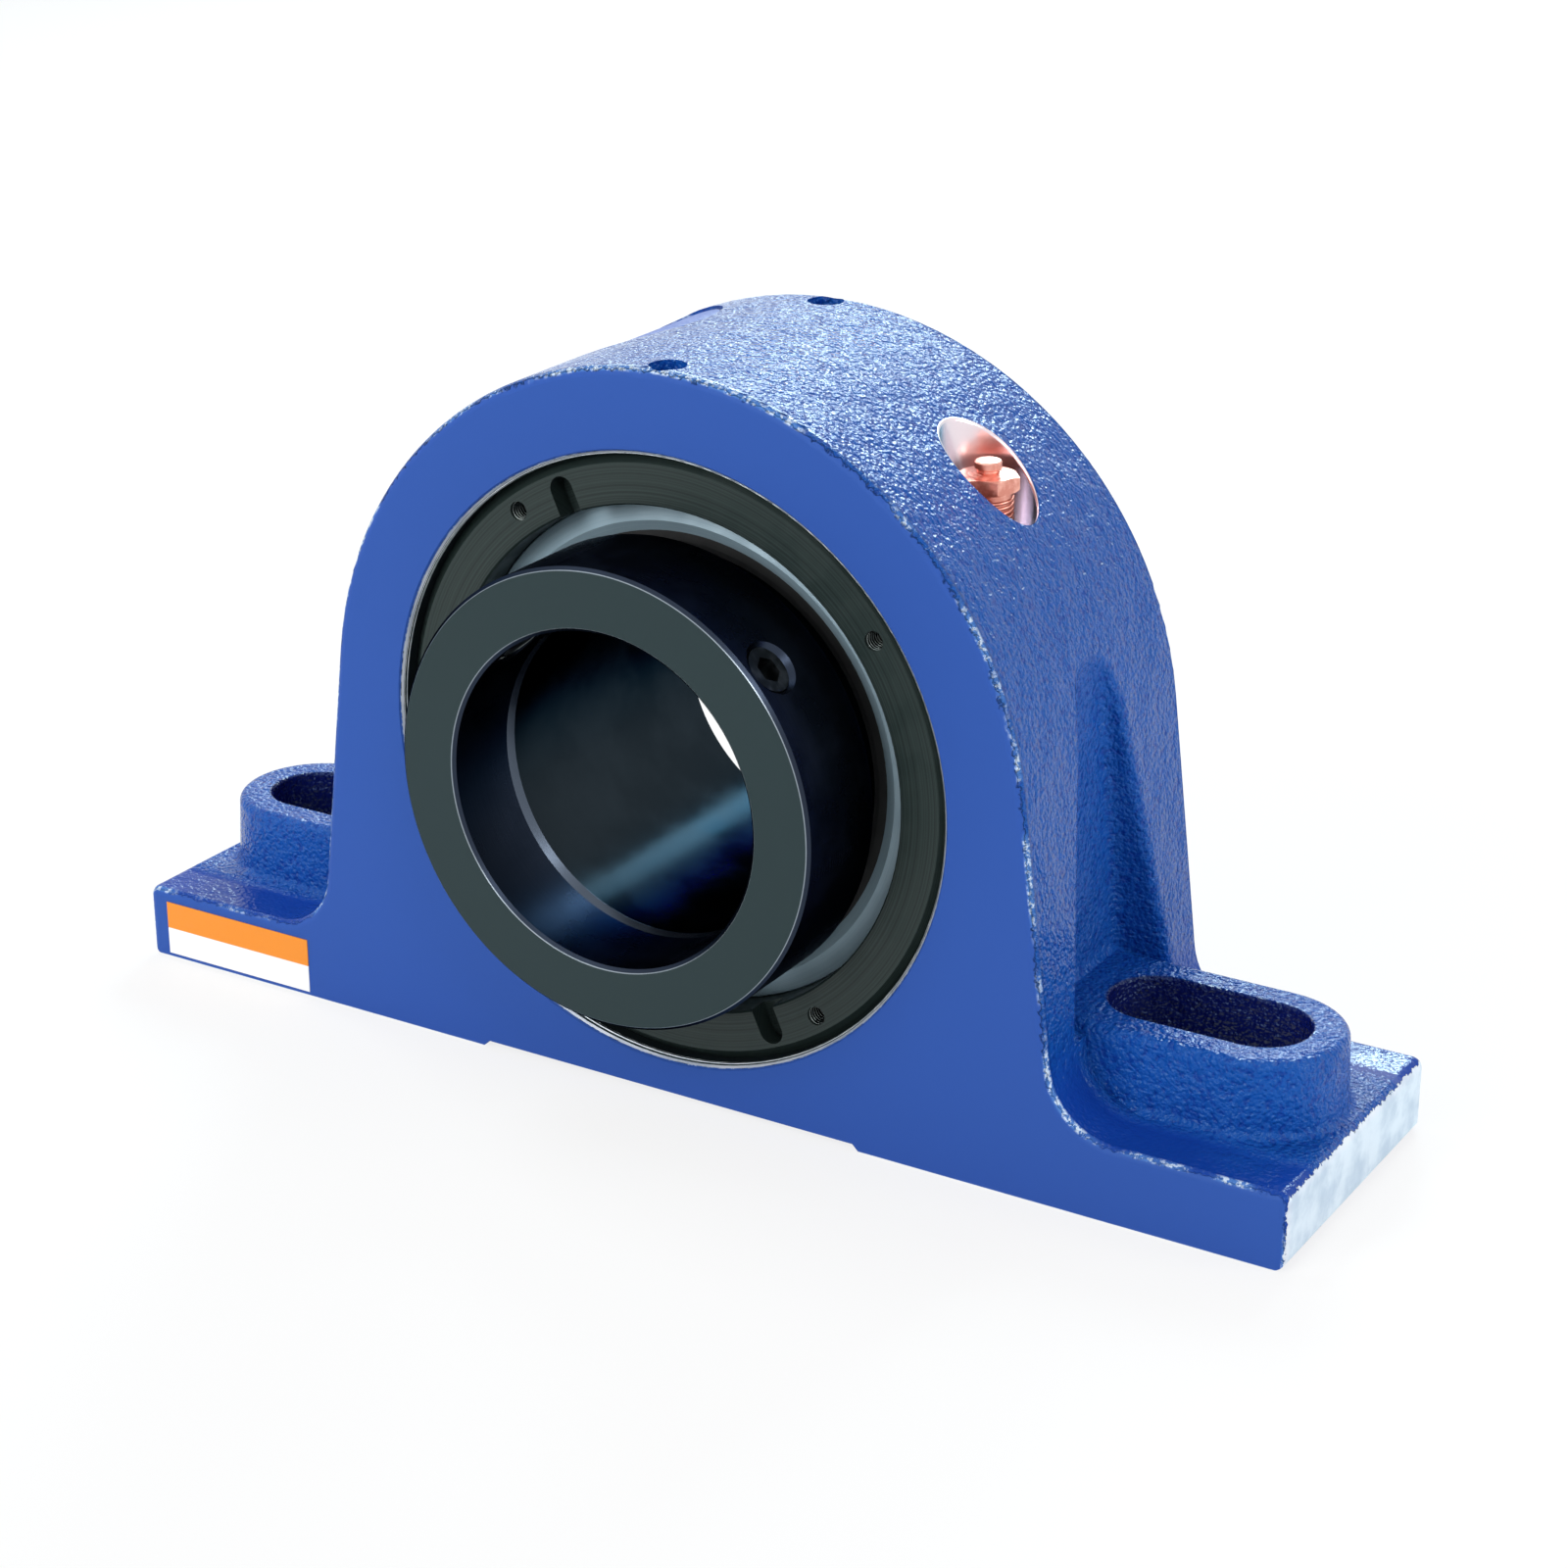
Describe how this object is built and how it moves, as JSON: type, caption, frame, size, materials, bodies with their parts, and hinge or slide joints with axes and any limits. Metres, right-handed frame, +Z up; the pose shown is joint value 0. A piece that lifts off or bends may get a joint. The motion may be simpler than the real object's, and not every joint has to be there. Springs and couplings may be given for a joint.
{
  "type": "mounted bearing",
  "caption": "Cast pillow block with slotted feet holding a self-aligning spherical roller bearing, threaded covers, tilting seals and a set-screw locking collar.",
  "frame": {"origin": "middle of the bolt slots on the base plane, below the shaft centre", "axes": "+Z up, +Y along the shaft away from the locking collar, +X towards the grease fitting"},
  "size_m": [0.36, 0.1172, 0.201],
  "materials": {
    "blue_enamel": "gloss blue enamel over cast texture, front and back faces flat",
    "bearing_steel": "ground bearing steel",
    "rolling_steel": "polished rollers",
    "cage_steel": "pressed steel, satin",
    "inner_ring_steel": "dark oxide, satin",
    "cover_steel": "dark machined steel, turned lines",
    "seal_steel": "pale plated steel, satin",
    "seal_rubber": "matt black rubber",
    "collar_steel": "black oxide with bright chamfers",
    "screw_steel": "black oxide fasteners",
    "fitting_metal": "reddish plated metal",
    "label_film": "orange over white film, bare"
  },
  "bodies": {
    "housing": {"housing": "blue_enamel", "front_cover": "cover_steel", "rear_cover": "cover_steel", "outer_ring": "bearing_steel", "front_cover_gasket": "seal_rubber", "rear_cover_gasket": "seal_rubber", "cover_lock_screws": "screw_steel", "grease_fitting": "fitting_metal", "label": "label_film"},
    "guide_ring": {"guide_ring": "bearing_steel"},
    "seals": {"front_seal_carrier": "seal_steel", "rear_seal_carrier": "seal_steel", "front_lip_seal": "seal_rubber", "rear_lip_seal": "seal_rubber"},
    "roller_set": {"front_cage": "cage_steel", "rear_cage": "cage_steel", "front_rollers": "rolling_steel", "rear_rollers": "rolling_steel"},
    "shaft_ring": {"inner_ring": "inner_ring_steel", "locking_collar": "collar_steel", "collar_set_screws": "screw_steel"}
  },
  "joints": [
    {"name": "pitch_tilt", "type": "hinge", "parent": "housing", "child": "guide_ring", "pos_m": [0, 0, 0.09525], "axis": [1, 0, 0], "range_deg": [-1.5, 1.5]},
    {"name": "yaw_tilt", "type": "hinge", "parent": "guide_ring", "child": "seals", "pos_m": [0, 0, 0.09525], "axis": [0, 0, 1], "range_deg": [-1.5, 1.5]},
    {"name": "shaft_spin", "type": "hinge", "parent": "seals", "child": "shaft_ring", "pos_m": [0, 0, 0.09525], "axis": [0, 1, 0], "continuous": true},
    {"name": "roller_orbit", "type": "hinge", "parent": "seals", "child": "roller_set", "pos_m": [0, 0, 0.09525], "axis": [0, 1, 0], "continuous": true}
  ],
  "couplings": [
    {"joint": "roller_orbit", "follows": "shaft_spin", "ratio": 0.4206}
  ]
}
